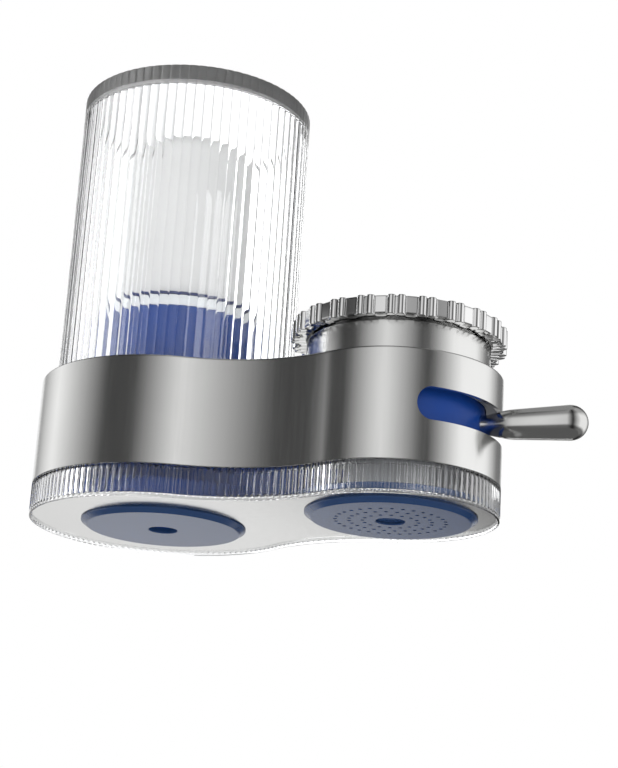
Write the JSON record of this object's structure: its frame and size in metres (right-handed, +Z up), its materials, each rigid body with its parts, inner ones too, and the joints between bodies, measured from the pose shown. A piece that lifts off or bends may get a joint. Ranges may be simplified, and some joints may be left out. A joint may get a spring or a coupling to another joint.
{
  "type": "water filter",
  "caption": "Tap-mounted water filter: two-lobed steel housing, clear reeded chamber with a ceramic candle, lever diverter valve, knurled ring nut and two outlet discs below.",
  "frame": {"origin": "centre of the mouth of the threaded socket that takes the tap", "axes": "+Z up out of the socket along the valve's axis, +X from the filter chamber to the lever side, -Y towards the user"},
  "size_m": [0.1641, 0.078, 0.1326],
  "materials": {
    "satin_steel": "satin, softly reflective",
    "clear_acrylic": "clear moulded plastic",
    "bright_base": "bright silvery plate",
    "blue_plastic": "semi-gloss moulded",
    "chrome_plate": "polished plating",
    "satin_chrome": "satin plating",
    "mesh_steel": "fine mesh",
    "white_nylon": "matt white",
    "grey_plastic": "matt moulded",
    "black_rubber": "matt",
    "blue_rubber": "matt",
    "white_ceramic": "fine unglazed ceramic",
    "black_carbon": "granular"
  },
  "bodies": {
    "housing": {"housing_shell": "satin_steel", "base_skirt": "clear_acrylic", "base_plate": "bright_base", "filtered_outlet_disc": "blue_plastic", "spray_disc": "blue_plastic", "collar": "satin_steel", "adapter_seal": "black_rubber", "valve_body": "grey_plastic", "port_seals": "black_rubber", "water_chassis": "blue_plastic", "cartridge_cap": "blue_plastic", "spigot_seal": "black_rubber", "cartridge_ring": "white_nylon", "cartridge_gasket": "blue_rubber", "ceramic_candle": "white_ceramic", "carbon_core": "black_carbon"},
    "diverter": {"valve_rotor": "blue_plastic", "rotor_seal": "black_rubber", "lever": "satin_chrome"},
    "tap_swivel": {"tap_adapter": "chrome_plate", "inlet_washer": "black_rubber", "inlet_screen": "mesh_steel"},
    "nut_thread": {"slip_ring": "white_nylon"},
    "ring_nut": {"union_nut": "chrome_plate"},
    "cover_thread": {"cover_seal": "black_rubber"},
    "cover": {"cartridge_cover": "clear_acrylic"}
  },
  "joints": [
    {"name": "lever_turn", "type": "hinge", "parent": "housing", "child": "diverter", "pos_m": [0, 0, -0.029], "axis": [0, 0, 1], "range_deg": [-54, 43]},
    {"name": "tap_turn", "type": "hinge", "parent": "housing", "child": "tap_swivel", "pos_m": [0, 0, -0.004], "axis": [0, 0, 1], "continuous": true},
    {"name": "nut_rise", "type": "slide", "parent": "housing", "child": "nut_thread", "axis": [0, 0, 1], "range_m": [0, 0.003]},
    {"name": "nut_turn", "type": "hinge", "parent": "nut_thread", "child": "ring_nut", "pos_m": [0, 0, -0.003], "axis": [0, 0, 1], "range_deg": [0, 700]},
    {"name": "cover_rise", "type": "slide", "parent": "housing", "child": "cover_thread", "axis": [0, 0, 1], "range_m": [0, 0.006]},
    {"name": "cover_turn", "type": "hinge", "parent": "cover_thread", "child": "cover", "pos_m": [-0.071, 0, 0.03], "axis": [0, 0, 1], "range_deg": [0, 520]}
  ],
  "couplings": [
    {"joint": "nut_rise", "follows": "nut_turn", "m_per_rad": 0.00023873},
    {"joint": "cover_rise", "follows": "cover_turn", "m_per_rad": 0.00063662}
  ]
}
